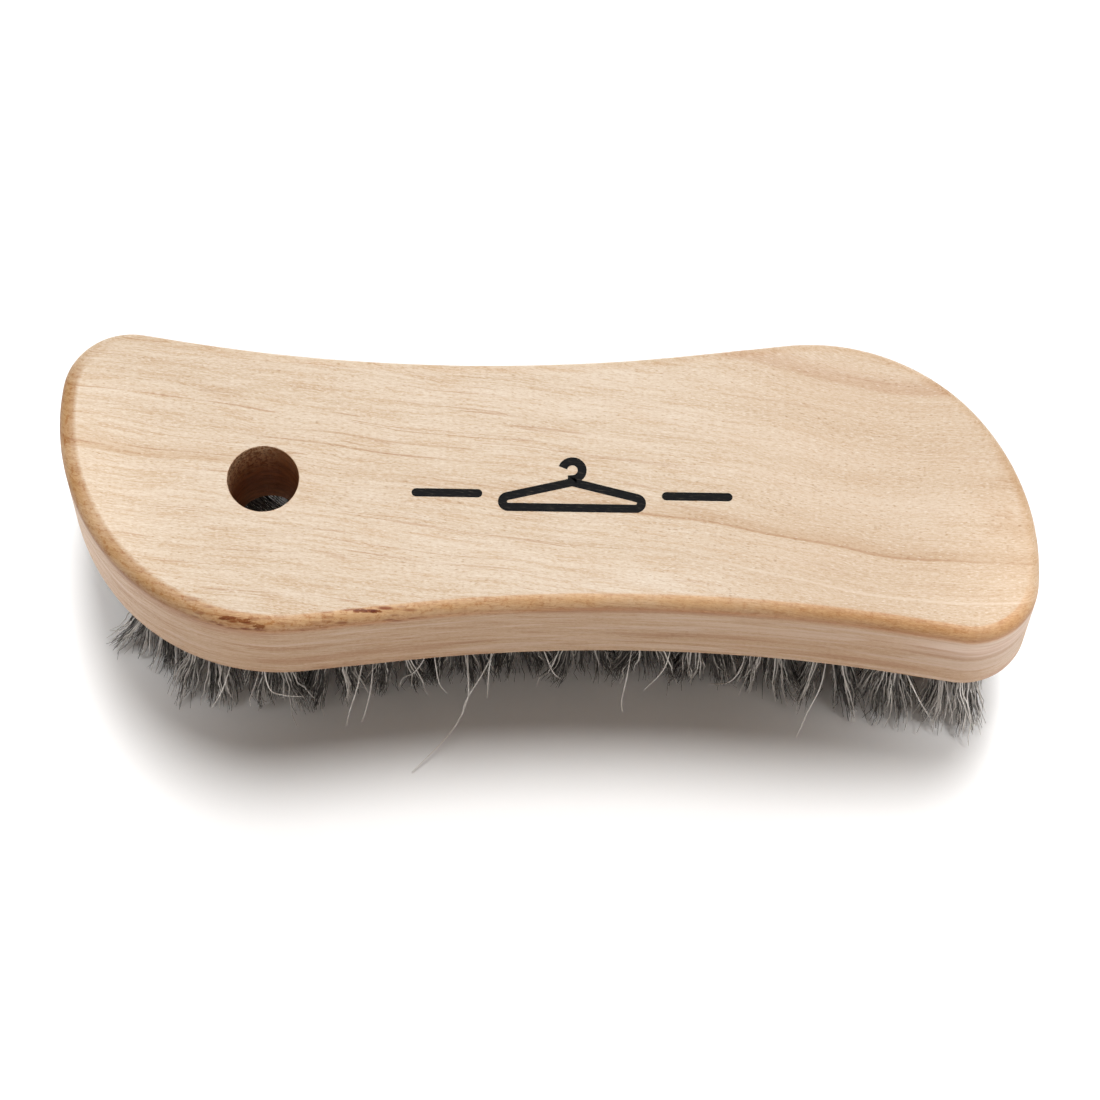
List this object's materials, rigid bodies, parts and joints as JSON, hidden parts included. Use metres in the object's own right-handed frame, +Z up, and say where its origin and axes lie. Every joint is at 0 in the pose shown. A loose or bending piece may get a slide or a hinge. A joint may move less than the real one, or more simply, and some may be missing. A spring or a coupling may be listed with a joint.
{
  "type": "clothes brush",
  "caption": "S-shaped wooden clothes brush with a round hanging hole near one end and tufts of grey horsehair set in its flat underside.",
  "frame": {"origin": "on the surface that the bristle tips stand on, under the middle of the block", "axes": "+X along the block towards the end without the hanging hole, +Y across it, +Z up from the bristle tips to the top face"},
  "size_m": [0.1692, 0.0592, 0.04],
  "materials": {
    "beech": "sanded and thinly sealed pale beech with short dark flecks, its rounded top edge burnished golden brown",
    "horsehair": "natural grey horsehair in loose wavy strands, satin sheen",
    "anchor_wire": "flat drawn steel wire, seen only inside the tuft holes"
  },
  "bodies": {
    "root": {"handle_block": "beech", "tuft_centre": "horsehair", "tuft_inner_01": "horsehair", "tuft_inner_02": "horsehair", "tuft_inner_03": "horsehair", "tuft_inner_04": "horsehair", "tuft_inner_05": "horsehair", "tuft_inner_06": "horsehair", "tuft_inner_07": "horsehair", "tuft_inner_08": "horsehair", "tuft_inner_09": "horsehair", "tuft_inner_10": "horsehair", "tuft_inner_11": "horsehair", "tuft_inner_12": "horsehair", "tuft_inner_13": "horsehair", "tuft_inner_14": "horsehair", "tuft_inner_15": "horsehair", "tuft_inner_16": "horsehair", "tuft_inner_17": "horsehair", "tuft_inner_18": "horsehair", "tuft_inner_19": "horsehair", "tuft_inner_20": "horsehair", "tuft_inner_21": "horsehair", "tuft_inner_22": "horsehair", "tuft_inner_23": "horsehair", "tuft_outer_01": "horsehair", "tuft_outer_02": "horsehair", "tuft_outer_03": "horsehair", "tuft_outer_04": "horsehair", "tuft_outer_05": "horsehair", "tuft_outer_06": "horsehair", "tuft_outer_07": "horsehair", "tuft_outer_08": "horsehair", "tuft_outer_09": "horsehair", "tuft_outer_10": "horsehair", "tuft_outer_11": "horsehair", "tuft_outer_12": "horsehair", "tuft_outer_13": "horsehair", "tuft_outer_14": "horsehair", "tuft_outer_15": "horsehair", "tuft_outer_16": "horsehair", "tuft_outer_17": "horsehair", "tuft_outer_18": "horsehair", "tuft_outer_19": "horsehair", "tuft_outer_20": "horsehair", "tuft_outer_21": "horsehair", "tuft_outer_22": "horsehair", "tuft_outer_23": "horsehair", "tuft_outer_24": "horsehair", "tuft_outer_25": "horsehair", "tuft_outer_26": "horsehair", "tuft_outer_27": "horsehair", "tuft_outer_28": "horsehair", "tuft_outer_29": "horsehair", "tuft_outer_30": "horsehair", "tuft_outer_31": "horsehair", "tuft_outer_32": "horsehair", "tuft_outer_33": "horsehair", "tuft_outer_34": "horsehair"}
  },
  "joints": []
}
